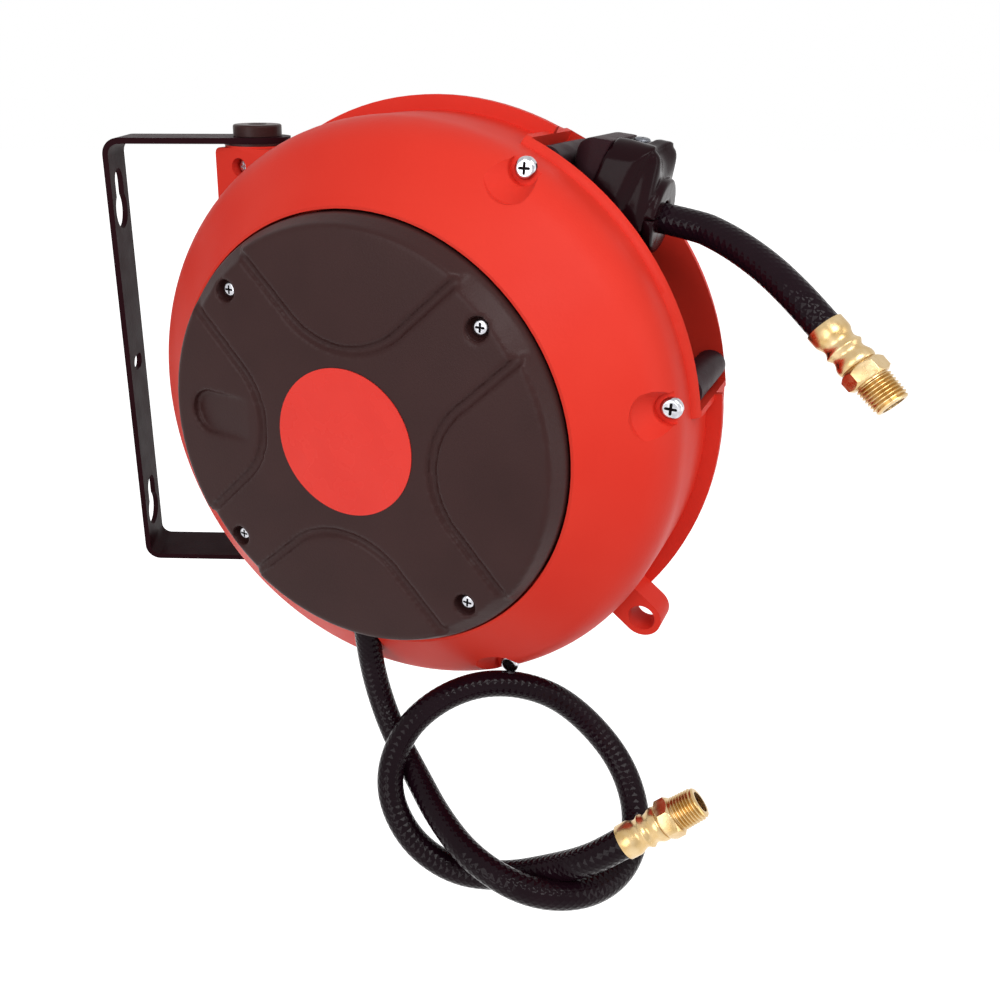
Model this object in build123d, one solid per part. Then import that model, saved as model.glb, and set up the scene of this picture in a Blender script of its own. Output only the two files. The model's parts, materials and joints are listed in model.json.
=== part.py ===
from build123d import *
from math import acos, atan2, cos, degrees, hypot, pi, radians, sin, tan
import os

# Retractable air hose reel on a swivelling wall bracket, in millimetres.
# Row frame: origin on the wall, midway between the bracket's two keyholes.
# +X points away from the wall, +Z up. The bracket frame is the same, but level
# with the case centre. The case frame has its origin at the case centre, the
# reel's axle along Y (front is -Y) and +Z up, turned on the bracket by swing.

# Wall bracket, bent from steel strap
strap_width = 27.6
strap_thickness = 2.8
strap_bend = 5.5
arm_overhang = 2.6
pivot_reach = 74.6
keyhole_diameter = 19.0
keyhole_neck = 13.0
keyhole_rise = 14.0
keyhole_upper = 80.5
keyhole_lower = -90.5
locating_slot_width = 13.4
locating_slot_height = 8.0
locating_slot_level = -1.0

# Swivel between the bracket and the case
swing = 29.0
pivot_offset = 100.0
pin_diameter = 14.0
pin_length = 19.3
washer_radius = 16.5
washer_thickness = 1.0
cap_radius = 12.0
cap_height = 5.4
cap_recess_radius = 4.8
cap_recess_depth = 3.6
cap_clearance = 0.2

# Case lugs that carry the swivel pins
lug_height = 111.8
lug_half_depth = 16.0
lug_reach = 14.2
lug_corner = 3.0
boss_radius = 16.3
boss_rise = 0.9
lug_clearance = 1.0
lug_screw_drop = 8.8
lug_screw_head = 4.0
lug_screw_bore = 4.3
lug_screw_sink = 7.0

# Case shells
shell_radius = 131.0
shoulder_start = 34.0
shoulder_radius = 26.0
rim_radius = 98.5
rim_depth = 70.5
wall = 3.0
recess_radius = 97.4
floor_depth = 58.0
floor_thickness = 3.0
back_radius = 104.0
flange_lip = 6.5
flange_width = 3.0

# Hose slot, a window with raised walls round the rim of the case
slot_start = 10.0
slot_end = 66.3
slot_half_width = 23.0
collar_rise = 3.5
collar_depth = 18.0
collar_wall = 3.0
collar_end_wall = 2.5
collar_round = 4.5

# Case screws on the rim. Those at the two ends of the slot carry the guide
# rollers on sleeves; the third one holds the case together at the bottom.
case_screw_circle = 128.4
upper_roller_angle = 62.2
lower_roller_angle = 13.2
bottom_screw_angle = -58.5
case_screw_shank = 2.0
case_screw_head = 4.4
screw_head_height = 2.6
case_screw_seat = 41.4
case_screw_length = 76.0
pocket_radius = 6.6
pocket_wall = 2.0
pocket_flare_start = 44.4
pocket_flare_radius = 12.0
pocket_flare_depth = 55.0
column_radius = 5.5
small_screw_shank = 1.6

# Guide rollers at both ends of the slot
roller_radius = 6.5
roller_half_length = 22.0
roller_bore = 3.5
roller_clearance = 0.5

# Hanging eye on the rim
eye_angle = -35.0
eye_width = 17.6
eye_hole_radius = 6.0
eye_reach = 153.0
eye_depth = 14.5

# Front cover
cover_radius = 96.4
cover_depth = 80.2
cover_edge_depth = 72.5
cover_top_radius = 92.4
cover_thickness = 3.2
arm_edge_radius = 88.9
pad_arc_centre = 80.5
pad_arc_radius = 38.0
groove_width = 4.0
groove_depth = 1.9
cover_screw_spread = 59.65
cover_screw_head = 3.5
cover_screw_head_height = 2.4
cover_screw_shank = 1.75
cover_screw_length = 12.6
cover_screw_sink = 5.6
cover_screw_bore = 4.75
cover_boss_radius = 5.0
thumb_left = -83.0
thumb_right = -50.0
thumb_level = 1.5
thumb_half_height = 10.5
thumb_depth = 3.8
label_radius = 33.0
label_thickness = 0.4
label_level = 1.6

# Hose
hose_diameter = 12.0
hose_clearance = 0.05
hose_turns_across = 5
hose_layers = 4
line_dip = 6.5

# Drum
hub_radius = 55.0
hub_wall = 3.0
drum_flange_radius = 112.0
drum_flange_thickness = 2.7
drum_side_clearance = 0.3
drum_bore_wall = 4.0
drum_screw_circle = 46.0

# Axle and its rotary joint
axle_radius = 9.0
axle_bore = 4.0
bush_wall = 4.0
bush_length = 14.0
running_clearance = 0.05
swivel_radius = 17.0
swivel_half_length = 11.0
seal_width = 2.6
seal_thickness = 2.0
nipple_radius = 5.0
axle_nut_flats = 24.0
axle_nut_height = 3.5
axle_screw_radius = 4.0
axle_screw_length = 16.0

# Spring motor behind the drum
spring_case_radius = 78.0
spring_case_wall = 1.5
spring_strip = 18.0
spring_gauge = 1.2
spring_pitch = 5.0
spring_inner_radius = 12.0
spring_coils = 11

# Ratchet and pawl in front of the drum
ratchet_radius = 66.0
ratchet_root = 61.0
ratchet_bore = 50.0
ratchet_height = 8.0
ratchet_teeth = 12
pawl_angle = 118.0
pawl_circle = 84.0
pawl_thickness = 5.0
pawl_pin_radius = 3.0
pawl_gap = 0.8

# Inlet under the cover
inlet_depth = 66.0
trough_x = 4.0
trough_depth = 66.5
trough_clearance = 1.5
elbow_radius = 7.0
elbow_neck = 4.4
elbow_length = 30.0
ferrule_radius = 7.1
ferrule_length = 19.2
ferrule_waist = 0.55
hex_flats = 14.0
hex_length = 6.2
thread_radius = 6.5
thread_chamfer = 1.0
thread_length = 11.2
fitting_bore = 4.0

# Hose stopper clamped on the outlet hose
stopper_start = 54.7
stopper_seam = 63.0
stopper_back = 79.5
stopper_lean = 0.25
stopper_collar_start = 87.2
stopper_end = 91.9
stopper_top = 28.0
stopper_bottom = -17.0
stopper_half_width = 19.0
nose_half_width = 17.5
nose_round = 8.0
stopper_shoulder = 10.0
stopper_corner = 6.0
stopper_neck_radius = 11.0
stopper_collar_radius = 15.0
stopper_split = 0.2
stopper_screw_spread = 12.0

# Routes of the two hoses in the case frame
inlet_route = [
    (0, -66, -49.2), (0, -66, -70), (3, -67, -97), (9, -69, -123), (23, -76, -143),
    (42, -86, -154), (61, -99, -160), (83, -110, -163), (108, -110, -167),
    (128, -96, -170), (138, -74, -170), (137, -52, -162), (124, -37, -148),
    (104, -34, -132), (85, -40, -119), (63, -53, -114), (45, -68, -120),
    (33, -84, -134), (33, -99, -154), (49, -106, -172), (72, -105, -180),
    (95, -99, -175), (112, -95, -165), (128, -95, -151), (139, -90, -140),
]
outlet_bend = [
    (113, 0, 92.3), (129, -6, 88), (145, -13, 81), (158.6, -20.6, 72.7),
    (169.8, -25.1, 63.8),
]

# Derived positions
case_screw_angles = (upper_roller_angle, lower_roller_angle, bottom_screw_angle)
arm_inside = lug_height + boss_rise + washer_thickness
arm_outside = arm_inside + strap_thickness
bracket_length = pivot_reach + arm_overhang
lug_screw_height = lug_height - lug_screw_drop
flange_radius = shell_radius + flange_lip
collar_radius = shell_radius + collar_rise
collar_root = collar_radius - collar_depth
winding_radius = hub_radius + hose_diameter * (1 + (hose_layers - 1) * sin(pi / 3))
winding_half_width = hose_turns_across * hose_diameter / 2
drum_inside = winding_half_width + drum_side_clearance
drum_outside = drum_inside + drum_flange_thickness
line_distance = winding_radius + hose_diameter / 2 + drum_side_clearance
collar_face = slot_half_width + collar_wall
shoulder_centre = (shell_radius - shoulder_radius, shoulder_start)
to_rim = (rim_radius - shoulder_centre[0], rim_depth - shoulder_centre[1])
shoulder_turn = atan2(to_rim[1], to_rim[0]) - acos(shoulder_radius / hypot(*to_rim))
bush_outer = axle_radius + running_clearance + bush_wall
drum_tube = bush_outer + drum_bore_wall
hose_bore = hose_diameter / 2 + hose_clearance

bracket_frame = Pos(0, 0, -(keyhole_upper + keyhole_lower) / 2)
case_frame = bracket_frame * Pos(pivot_reach, 0, 0) * Rot(0, 0, -swing) * Pos(pivot_offset, 0, 0)
line_frame = Rot(0, line_dip, 0) * Pos(0, 0, line_distance)

os.makedirs("parts", exist_ok=True)


def save(name, shape, frame=case_frame):
    """Write one node, moved from its own frame to the row frame."""
    placed = frame * shape
    export_step(placed, "parts/" + name + ".step")
    print(name, round(placed.volume, 1))


def rod(radius, front, back, x=0.0, z=0.0):
    """Cylinder along the reel's axle, between two depths."""
    return Pos(x, (front + back) / 2, z) * Rot(90, 0, 0) * Cylinder(radius, abs(back - front))


def post(radius, low, high, x=0.0, y=0.0):
    """Upright cylinder."""
    return Pos(x, y, (low + high) / 2) * Cylinder(radius, abs(high - low))


def block(x_min, x_max, y_min, y_max, z_min, z_max):
    """Box between limits."""
    middle = Pos((x_min + x_max) / 2, (y_min + y_max) / 2, (z_min + z_max) / 2)
    return middle * Box(x_max - x_min, y_max - y_min, z_max - z_min)


def band(inner, outer, low, high):
    """Flat rectangle in the radius and depth plane."""
    return Pos((inner + outer) / 2, (low + high) / 2) * Rectangle(outer - inner, high - low)


def at_angle(radius, angle):
    """Place on a circle round the axle; 0 is +X and 90 is up."""
    return radius * cos(radians(angle)), radius * sin(radians(angle))


def spin(angle):
    """Turn about the axle so that +X goes to the angle."""
    return Rot(0, -angle, 0)


def sector(section, start, end):
    """Revolve a section about the axle between two angles."""
    return spin(end) * revolve(section, Axis.Y, revolution_arc=end - start)


def group(shapes):
    """Separate solids kept together in one node."""
    return Part() + shapes


def both_ways(shape):
    """A shape and its mirror image below the middle of the case."""
    return shape + mirror(shape, about=Plane.XY)


def crown_depth(inset, radius):
    """Depth of the sloping front of the case at a radius."""
    reach = shoulder_radius - inset
    turn_radius = shoulder_centre[0] + reach * cos(shoulder_turn)
    turn_depth = shoulder_centre[1] + reach * sin(shoulder_turn)
    return turn_depth + (turn_radius - radius) / tan(shoulder_turn)


def crown(inset, inner_radius):
    """Section of the case out to its skin, or to the skin less an inset."""
    reach = shoulder_radius - inset
    edge = shell_radius - inset
    points = []
    for turn in (shoulder_turn / 2, shoulder_turn):
        across = shoulder_centre[0] + reach * cos(turn)
        points.append((across, shoulder_centre[1] + reach * sin(turn)))
    depth = crown_depth(inset, inner_radius)
    side = Polyline((0, 0), (edge, 0), (edge, shoulder_start))
    shoulder = ThreePointArc((edge, shoulder_start), points[0], points[1])
    front = Polyline(points[1], (inner_radius, depth), (0, depth), (0, 0))
    return make_face(side + shoulder + front)


def cord_radii(points):
    """Largest even bend at each corner of a hose route."""
    radii = []
    for before, here, after in zip(points, points[1:], points[2:]):
        first = Vector(*here) - Vector(*before)
        second = Vector(*after) - Vector(*here)
        turn = radians(first.get_angle(second))
        radii.append(0.45 * min(first.length, second.length) / tan(turn / 2))
    return radii


def cord(points, held_start, held_end):
    """Hose along straight runs joined by arcs, with straight ends inside the ferrules."""
    radii = cord_radii(points)
    path = FilletPolyline(*points, radius=radii)
    print("  bends", [round(r) for r in radii])
    first = Vector(*points[0])
    last = Vector(*points[-1])
    if held_start:
        path = Line(first - (path % 0) * held_start, first) + path
    if held_end:
        path = path + Line(last, last + (path % 1) * held_end)
    path = Wire(path.edges())
    start = Plane(origin=path @ 0, z_dir=path % 0)
    tube = sweep(start * Circle(hose_diameter / 2), path=path)
    expected = pi * hose_diameter ** 2 / 4 * path.length
    print("  hose volume against section times length", round(tube.volume / expected, 4))
    return tube


def end_frame(points):
    """Frame at the far face of a hose's last ferrule, with Z along its last run."""
    last = Vector(*points[-1])
    along = (last - Vector(*points[-2])).normalized()
    return Plane(origin=last + along * ferrule_length, z_dir=along).location


def ferrule():
    """Crimped sleeve, from the mouth at -length to the hose's end at 0."""
    step = ferrule_length / 8
    waist = ferrule_radius - ferrule_waist
    outline = [
        (ferrule_radius - 0.2, 0), (ferrule_radius, 0.6), (ferrule_radius, step * 1.6),
        (waist, step * 2.5), (ferrule_radius + 0.1, step * 3.6), (waist, step * 4.8),
        (ferrule_radius, step * 5.9), (ferrule_radius, ferrule_length),
    ]
    points = [(hose_bore, 0)] + outline + [(hose_bore, ferrule_length)]
    section = make_face(Polyline(*[(r, -d) for r, d in points], close=True))
    return revolve(Plane.XZ * section, Axis.Z)


def hex_prism(flats, low, high):
    """Hexagon along Z."""
    return Pos(0, 0, low) * extrude(RegularPolygon(flats / 2, 6, major_radius=False), high - low)


def hose_end():
    """Brass male connector beyond the hose's end."""
    body = chamfer(hex_prism(hex_flats, 0, hex_length).edges().group_by(Axis.Z)[-1], 0.7)
    thread = post(thread_radius, hex_length, hex_length + thread_length)
    body += chamfer(thread.edges().group_by(Axis.Z)[-1], thread_chamfer)
    return body - post(fitting_bore, -1, hex_length + thread_length + 1)


def pan_screw(head_radius, head_height, shank, length):
    """Cross-head screw along -Y outwards, seated at 0."""
    head = rod(head_radius, -head_height, 0)
    rim = head.edges().filter_by(GeomType.CIRCLE).sort_by(Axis.Y)[0]
    head = fillet(rim, head_height * 0.6)
    recess = block(-0.4, 0.4, -head_height - 1, -head_height + 1.0, -head_radius * 0.55, head_radius * 0.55)
    recess += Rot(0, 90, 0) * recess
    return head - recess + rod(shank, 0, length)


# Wall bracket
strap = Pos(bracket_length / 2, 0) * Rectangle(bracket_length, 2 * arm_outside)
strap = fillet(strap.vertices().group_by(Axis.X)[0], strap_bend + strap_thickness)
opening = Pos(strap_thickness + bracket_length, 0) * Rectangle(2 * bracket_length, 2 * arm_inside)
opening = fillet(opening.vertices().group_by(Axis.X)[0], strap_bend)
bracket = extrude(Plane.XZ * (strap - opening), strap_width / 2, both=True)
arm_tip = post(strap_width / 2, arm_inside, arm_outside, bracket_length)
bracket += both_ways(arm_tip)
bracket -= post(pin_diameter / 2, -arm_outside - 1, arm_outside + 1, pivot_reach)


def through_plate(sketch):
    """Cut the shape of a sketch, drawn across and up, through the wall plate."""
    return extrude(Plane.YZ * sketch, strap_thickness * 2, both=True)


def keyhole(level):
    """Round head hole with a narrow slot above it."""
    neck = Pos(0, level + keyhole_rise / 2) * SlotCenterToCenter(keyhole_rise, keyhole_neck, rotation=90)
    return through_plate(Pos(0, level) * Circle(keyhole_diameter / 2) + neck)


bracket -= keyhole(keyhole_upper) + keyhole(keyhole_lower)
bracket -= through_plate(
    Pos(0, locating_slot_level) * SlotOverall(locating_slot_width, locating_slot_height)
)
save("wall_bracket", bracket, bracket_frame)

# Swivel pins, washers, caps and their screws
pin_top = arm_outside + cap_clearance
pin_radius = pin_diameter / 2 - running_clearance
lug_screw_shank = small_screw_shank + 0.3
pin = post(pin_radius, pin_top - pin_length, pin_top)
pin -= rod(lug_screw_shank + 0.1, -pin_diameter, pin_diameter, 0, lug_screw_height)
cap_screw_seat = pin_top + cap_height - cap_recess_depth
cap_screw_length = 9.0
pin -= post(lug_screw_shank, cap_screw_seat - cap_screw_length - 0.5, pin_top + 1)
washer = post(washer_radius, arm_inside - washer_thickness, arm_inside)
washer -= post(pin_diameter / 2, 0, arm_outside)
cap = post(cap_radius, pin_top, pin_top + cap_height)
cap = fillet(cap.edges().group_by(Axis.Z)[-1], 1.0)
cap -= post(cap_recess_radius, cap_screw_seat, pin_top + cap_height + 1)
cap -= post(lug_screw_shank + 0.1, 0, cap_screw_seat + 1)
cap_screw = pan_screw(lug_screw_head, screw_head_height, lug_screw_shank - 0.1, cap_screw_length)
cap_screw = Pos(0, 0, cap_screw_seat) * Rot(-90, 0, 0) * cap_screw
swivel = Pos(-pivot_offset, 0, 0)
save("pivot_pins", both_ways(swivel * pin))
save("pivot_washers", both_ways(swivel * washer))
save("pivot_caps", both_ways(swivel * cap))
save("pivot_screws", both_ways(swivel * cap_screw))


# Case shells. Both halves share the lugs, the slot walls and the columns.
def half_shell(section, side):
    """One half of the case; side is -1 for the front, +1 for the rear."""
    shell = revolve(section, Axis.Y)
    left = -pivot_offset - lug_reach
    lug = block(left, -pivot_offset + 40, 0, side * lug_half_depth, 60, lug_height) if side > 0 \
        else block(left, -pivot_offset + 40, side * lug_half_depth, 0, 60, lug_height)
    outer_edge = lug.edges().filter_by(Axis.Y).group_by(Axis.Z)[-1].sort_by(Axis.X)[0]
    lug = fillet(outer_edge, lug_corner)
    boss = post(boss_radius, lug_height - 1, lug_height + boss_rise, -pivot_offset)
    boss &= block(-200, 0, min(0, side * 40), max(0, side * 40), 0, 200)
    lug = lug + boss - rod(shell_radius - wall / 2, -60, 60)
    shell += both_ways(lug)
    walls = band(collar_root, collar_radius, 0, collar_face)
    corner = walls.vertices().sort_by(lambda v: v.X + v.Y)[-1]
    walls = fillet(corner, collar_round)
    walls = mirror(walls, about=Plane.XZ) if side < 0 else walls
    overhang = degrees(collar_end_wall / collar_radius)
    shell += sector(walls, slot_start - overhang, slot_end + overhang)
    skin = revolve(crown(0, back_radius), Axis.Y)
    skin = mirror(skin, about=Plane.XZ) if side < 0 else skin
    for angle in case_screw_angles:
        x, z = at_angle(case_screw_circle, angle)
        shell += rod(column_radius, 0, side * (case_screw_seat - 3), x, z) & skin
    return shell


def open_slot(shell):
    """Cut the window between the slot walls, and room for the rollers."""
    window = band(hub_radius + 45, flange_radius + 5, -slot_half_width, slot_half_width)
    shell -= sector(window, slot_start, slot_end)
    for angle in (upper_roller_angle, lower_roller_angle):
        x, z = at_angle(case_screw_circle, angle)
        shell -= rod(roller_radius + roller_clearance, -slot_half_width, slot_half_width, x, z)
        shell -= rod(roller_bore, -slot_half_width - 2, slot_half_width + 2, x, z)
    return shell


def fit_pivots(shell):
    """Bore both lugs for the swivel pins and their cross screws."""
    bore = swivel * post(pin_diameter / 2 - running_clearance / 2, pin_top - pin_length, arm_outside)
    screw = rod(lug_screw_shank, -lug_half_depth - 1, lug_half_depth - 1.5, -pivot_offset, lug_screw_height)
    sink = rod(
        lug_screw_bore, -lug_half_depth - 1, -lug_half_depth + lug_screw_sink,
        -pivot_offset, lug_screw_height,
    )
    above = swivel * post(washer_radius + lug_clearance, lug_height + boss_rise, arm_outside + cap_height * 2)
    return shell - both_ways(bore + screw + sink + above)


recess = band(0, recess_radius, floor_depth, floor_depth * 2)
cavity = crown(wall, recess_radius + wall)
cavity -= band(0, recess_radius + wall, floor_depth - floor_thickness, floor_depth * 2)
front_section = mirror(crown(0, rim_radius) - recess - cavity, about=Plane.XZ)
front_skin = revolve(mirror(crown(0, rim_radius), about=Plane.XZ), Axis.Y)
front_shell = half_shell(front_section, -1)

# Sunk pockets round the rim screws, flared towards the front
def flare(grow, x, z):
    """Wider mouth of a pocket."""
    height = pocket_flare_depth - pocket_flare_start
    cone = Cone(pocket_radius + grow, pocket_flare_radius + grow, height)
    return Pos(x, -(pocket_flare_depth + pocket_flare_start) / 2, z) * Rot(90, 0, 0) * cone


for angle in case_screw_angles:
    x, z = at_angle(case_screw_circle, angle)
    sleeve = rod(pocket_radius + pocket_wall, -case_screw_seat + 3, -rim_depth, x, z)
    sleeve += flare(pocket_wall, x, z)
    front_shell += sleeve & front_skin
    front_shell -= rod(pocket_radius, -case_screw_seat, -rim_depth - 5, x, z) + flare(0, x, z)
    front_shell -= rod(case_screw_shank + 0.1, -case_screw_seat - 1, 1, x, z)

# Hanging eye
eye_radius = eye_width / 2
eye_centre = eye_reach - eye_radius
strap_sketch = Pos((shell_radius + eye_centre) / 2 - 2, 0) * Rectangle(eye_centre - shell_radius + 4, eye_width)
strap_sketch += Pos(eye_centre, 0) * Circle(eye_radius)
hole_sketch = Pos(eye_centre, 0) * Circle(eye_hole_radius)
eye = extrude(Plane.XZ * strap_sketch, eye_depth)
eye_hole = extrude(Plane.XZ * hole_sketch, eye_depth)
front_shell += spin(eye_angle) * (eye - eye_hole)

# Trough that lets the inlet hose out over the sloping front
trough_radius = hose_diameter / 2 + trough_clearance
gutter = post(trough_radius + wall, -shell_radius, -recess_radius, trough_x, -trough_depth)
front_shell += gutter & front_skin
gutter_cut = post(trough_radius, -shell_radius - 5, -recess_radius + 5, trough_x, -trough_depth)
gutter_cut += block(
    trough_x - trough_radius, trough_x + trough_radius, -rim_depth - 20, -trough_depth,
    -shell_radius - 5, -recess_radius + 5,
)
front_shell -= gutter_cut

# Bosses on the recess floor, the axle seat and the pawl post
cover_boss_top = cover_depth - cover_screw_sink - 2.0
for turn in range(4):
    boss = rod(cover_boss_radius, -floor_depth + 1, -cover_boss_top, cover_screw_spread, cover_screw_spread)
    hole = rod(
        cover_screw_shank, -cover_boss_top - 1, -floor_depth - 1.5,
        cover_screw_spread, cover_screw_spread,
    )
    front_shell += Rot(0, 90 * turn, 0) * boss
    front_shell -= Rot(0, 90 * turn, 0) * hole
pawl_x, pawl_z = at_angle(pawl_circle, pawl_angle)
pawl_front = drum_outside + ratchet_height - 1.0
pawl_back = pawl_front - pawl_thickness
front_shell += rod(axle_radius + 6, -floor_depth + floor_thickness - 1, -floor_depth + 9)
front_shell -= rod(axle_radius + running_clearance, -floor_depth - 1, -30)
front_shell += rod(pawl_pin_radius + 3, -floor_depth + 1, -pawl_front - 0.3, pawl_x, pawl_z)
front_shell -= rod(pawl_pin_radius, -floor_depth + 2, -pawl_back, pawl_x, pawl_z)
front_shell = fit_pivots(open_slot(front_shell))
save("front_shell", front_shell)

back_depth = crown_depth(0, back_radius)
back_inside = crown_depth(wall, back_radius)
rear_section = crown(0, back_radius) - crown(wall, back_radius)
rear_shell = half_shell(rear_section, 1)
rear_shell += revolve(band(shell_radius - wall / 2, flange_radius, 0, flange_width), Axis.Y)
for angle in case_screw_angles:
    x, z = at_angle(case_screw_circle, angle)
    rear_shell -= rod(case_screw_shank, -1, case_screw_length - case_screw_seat + 1, x, z)
hub_boss = 3.0
rear_shell += rod(24, back_depth - 1, back_depth + hub_boss)
rear_shell += rod(axle_radius + 6, back_inside - 6, back_inside + 1)
rear_shell -= rod(axle_radius + running_clearance, back_inside - 7, back_inside)
rear_shell -= rod(axle_screw_radius + 0.1, 0, back_depth + hub_boss + 1)
rear_shell = fit_pivots(open_slot(rear_shell))
save("rear_shell", rear_shell)

# Screws of the case
case_screw = pan_screw(case_screw_head, screw_head_height, case_screw_shank - 0.05, case_screw_length)
case_screws = []
for angle in case_screw_angles:
    x, z = at_angle(case_screw_circle, angle)
    case_screws.append(Pos(x, -case_screw_seat, z) * case_screw)
save("case_screws", group(case_screws))
lug_screw_seat = -lug_half_depth + lug_screw_sink
lug_screw_reach = lug_half_depth - 2.0 - lug_screw_seat
lug_screw = pan_screw(lug_screw_head, screw_head_height, lug_screw_shank - 0.05, lug_screw_reach)
lug_screw = Pos(-pivot_offset, lug_screw_seat, lug_screw_height) * lug_screw
save("lug_screws", both_ways(lug_screw))

# Rollers, and the sleeves they turn on
sleeves = []
for name, angle in (("upper_roller", upper_roller_angle), ("lower_roller", lower_roller_angle)):
    x, z = at_angle(case_screw_circle, angle)
    roller = rod(roller_radius, -roller_half_length, roller_half_length, x, z)
    roller = chamfer(roller.edges().filter_by(GeomType.CIRCLE), 0.6)
    save(name, roller - rod(roller_bore, -30, 30, x, z))
    sleeve = rod(roller_bore - running_clearance, -slot_half_width - 2, slot_half_width + 2, x, z)
    sleeves.append(sleeve - rod(case_screw_shank + 0.1, -30, 30, x, z))
save("roller_sleeves", group(sleeves))

# Front cover with four raised pads between the arms of a cross
cover_outline = Polyline(
    (0, cover_depth), (cover_top_radius, cover_depth), (cover_radius, cover_edge_depth),
    (cover_radius, floor_depth), (cover_radius - cover_thickness, floor_depth),
    (cover_radius - cover_thickness, cover_edge_depth - 3),
    (cover_top_radius - cover_thickness - 2, cover_depth - cover_thickness),
    (0, cover_depth - cover_thickness), close=True,
)
cover_section = make_face(cover_outline)
shoulders = cover_section.vertices().filter_by(lambda v: v.X > cover_radius - 5 and v.Y > cover_edge_depth - 1)
cover_section = fillet(shoulders, 2.0)
cover = revolve(mirror(cover_section, about=Plane.XZ), Axis.Y)
slope = Polyline(
    (arm_edge_radius, cover_depth + 0.02), (cover_radius + 1, cover_depth + 0.02),
    (cover_radius + 1, cover_edge_depth), close=True,
)
arm_slope = mirror(make_face(slope), about=Plane.XZ)
for turn in range(4):
    cover -= sector(arm_slope, 90 * turn + 33.5, 90 * turn + 56.5)


def thumb(grow):
    """Finger dish that is deep at its left end and runs out to the right."""
    depth = thumb_depth + grow
    ramp = Polyline(
        (thumb_left - grow, -cover_depth - 1), (thumb_left - grow, -cover_depth + depth),
        (thumb_right + grow, -cover_depth + grow), (thumb_right + grow, -cover_depth - 1), close=True,
    )
    reach = thumb_half_height + grow
    wedge = extrude(make_face(ramp), thumb_half_height * 3, both=True)
    plan = Pos(thumb_left + thumb_half_height, thumb_level) * Circle(reach)
    plan += Pos((thumb_left + thumb_half_height + thumb_right) / 2 + grow / 2, thumb_level) * Rectangle(
        thumb_right - thumb_left - thumb_half_height + grow, 2 * reach
    )
    return wedge & extrude(Plane.XZ.offset(cover_depth - 10) * plan, 20)


cover += thumb(1.8) & rod(cover_top_radius, -cover_depth, -cover_depth + 10)
cover -= thumb(0)
pad_corner = pad_arc_radius * sin(radians(49))
pad_drop = pad_arc_centre - pad_arc_radius * cos(radians(49))
groove_reach = 34.0
groove_line = ThreePointArc(
    (-pad_corner, pad_drop), (0, pad_arc_centre - pad_arc_radius), (pad_corner, pad_drop)
)
groove_line += Line((pad_corner, pad_drop), (pad_corner + groove_reach, pad_drop + groove_reach * 0.97))
groove_line += Line((-pad_corner, pad_drop), (-pad_corner - groove_reach, pad_drop + groove_reach * 0.97))
groove = extrude(
    Plane.XZ.offset(cover_depth - groove_depth) * trace(groove_line, line_width=groove_width), groove_depth + 2
)
sleeve_top = cover_depth - cover_thickness + 0.5
for turn in range(4):
    cover -= Rot(0, 90 * turn, 0) * groove
    spread = cover_screw_spread
    cover += Rot(0, 90 * turn, 0) * rod(cover_screw_bore + 2, -cover_boss_top, -sleeve_top, spread, spread)
    bore = rod(cover_screw_bore, -cover_depth + cover_screw_sink, -cover_depth - 1, spread, spread)
    bore += rod(cover_screw_shank + 0.15, -cover_boss_top + 1, -cover_depth, spread, spread)
    cover -= Rot(0, 90 * turn, 0) * bore
cover -= post(trough_radius, -cover_radius - 5, -cover_radius + 14, trough_x, -trough_depth)
cover -= block(
    trough_x - trough_radius, trough_x + trough_radius, -trough_depth, -floor_depth + 1,
    -cover_radius - 5, -cover_radius + 14,
)
save("front_cover", cover)
label = Plane.XZ.offset(cover_depth) * (Pos(0.5, label_level) * Circle(label_radius))
save("cover_label", extrude(label, label_thickness))
cover_screw = pan_screw(
    cover_screw_head, cover_screw_head_height, cover_screw_shank - 0.05, cover_screw_length
)
cover_screw = Pos(cover_screw_spread, -cover_depth + cover_screw_sink, cover_screw_spread) * cover_screw
save("cover_screws", group([Rot(0, 90 * turn, 0) * cover_screw for turn in range(4)]))

# Axle, nut and rear screw
axle = rod(axle_radius, -floor_depth - axle_nut_height, back_inside)
axle -= rod(axle_bore, -floor_depth - 20, 0)
axle -= post(axle_bore - 1, 0, axle_radius + 1)
axle -= rod(axle_screw_radius - 0.1, back_inside - axle_screw_length + 4, back_inside + 1)
save("main_axle", axle)
nut = Rot(90, 0, 0) * hex_prism(axle_nut_flats, floor_depth, floor_depth + axle_nut_height)
save("axle_nut", nut - rod(axle_radius + running_clearance, -floor_depth - 10, 0))
screw_head = Rot(-90, 0, 0) * hex_prism(13.0, back_depth + hub_boss, back_depth + hub_boss + 5)
axle_screw = screw_head + rod(
    axle_screw_radius - 0.15, back_inside - axle_screw_length + 5, back_depth + hub_boss + 1
)
save("axle_screw", axle_screw)

# Inlet elbow and its ferrule
elbow_face = -floor_depth - axle_nut_height
elbow = rod(elbow_radius, elbow_face, -inlet_depth - elbow_radius)
elbow += post(elbow_neck, -elbow_length, 0, 0, -inlet_depth)
elbow += Pos(0, -inlet_depth, 0) * hex_prism(hex_flats, -elbow_length + 6, -elbow_length + 12)
elbow -= rod(axle_bore, elbow_face + 1, -inlet_depth)
elbow -= post(axle_bore - 0.5, -elbow_length - 1, 0, 0, -inlet_depth)
save("inlet_elbow", elbow)
save("inlet_collar", Pos(0, -inlet_depth, -elbow_length) * ferrule())

# Hoses with their ferrules and threaded ends
save("inlet_hose", cord(inlet_route, ferrule_length, ferrule_length))
save("inlet_ferrule", end_frame(inlet_route) * ferrule())
save("inlet_fitting", end_frame(inlet_route) * hose_end())
line_start = (line_frame * Pos(0, 0, 0)).position
outlet_route = [tuple(line_start)] + outlet_bend
save("outlet_hose", cord(outlet_route, 0, ferrule_length))
save("outlet_ferrule", end_frame(outlet_route) * ferrule())
save("outlet_fitting", end_frame(outlet_route) * hose_end())

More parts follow.
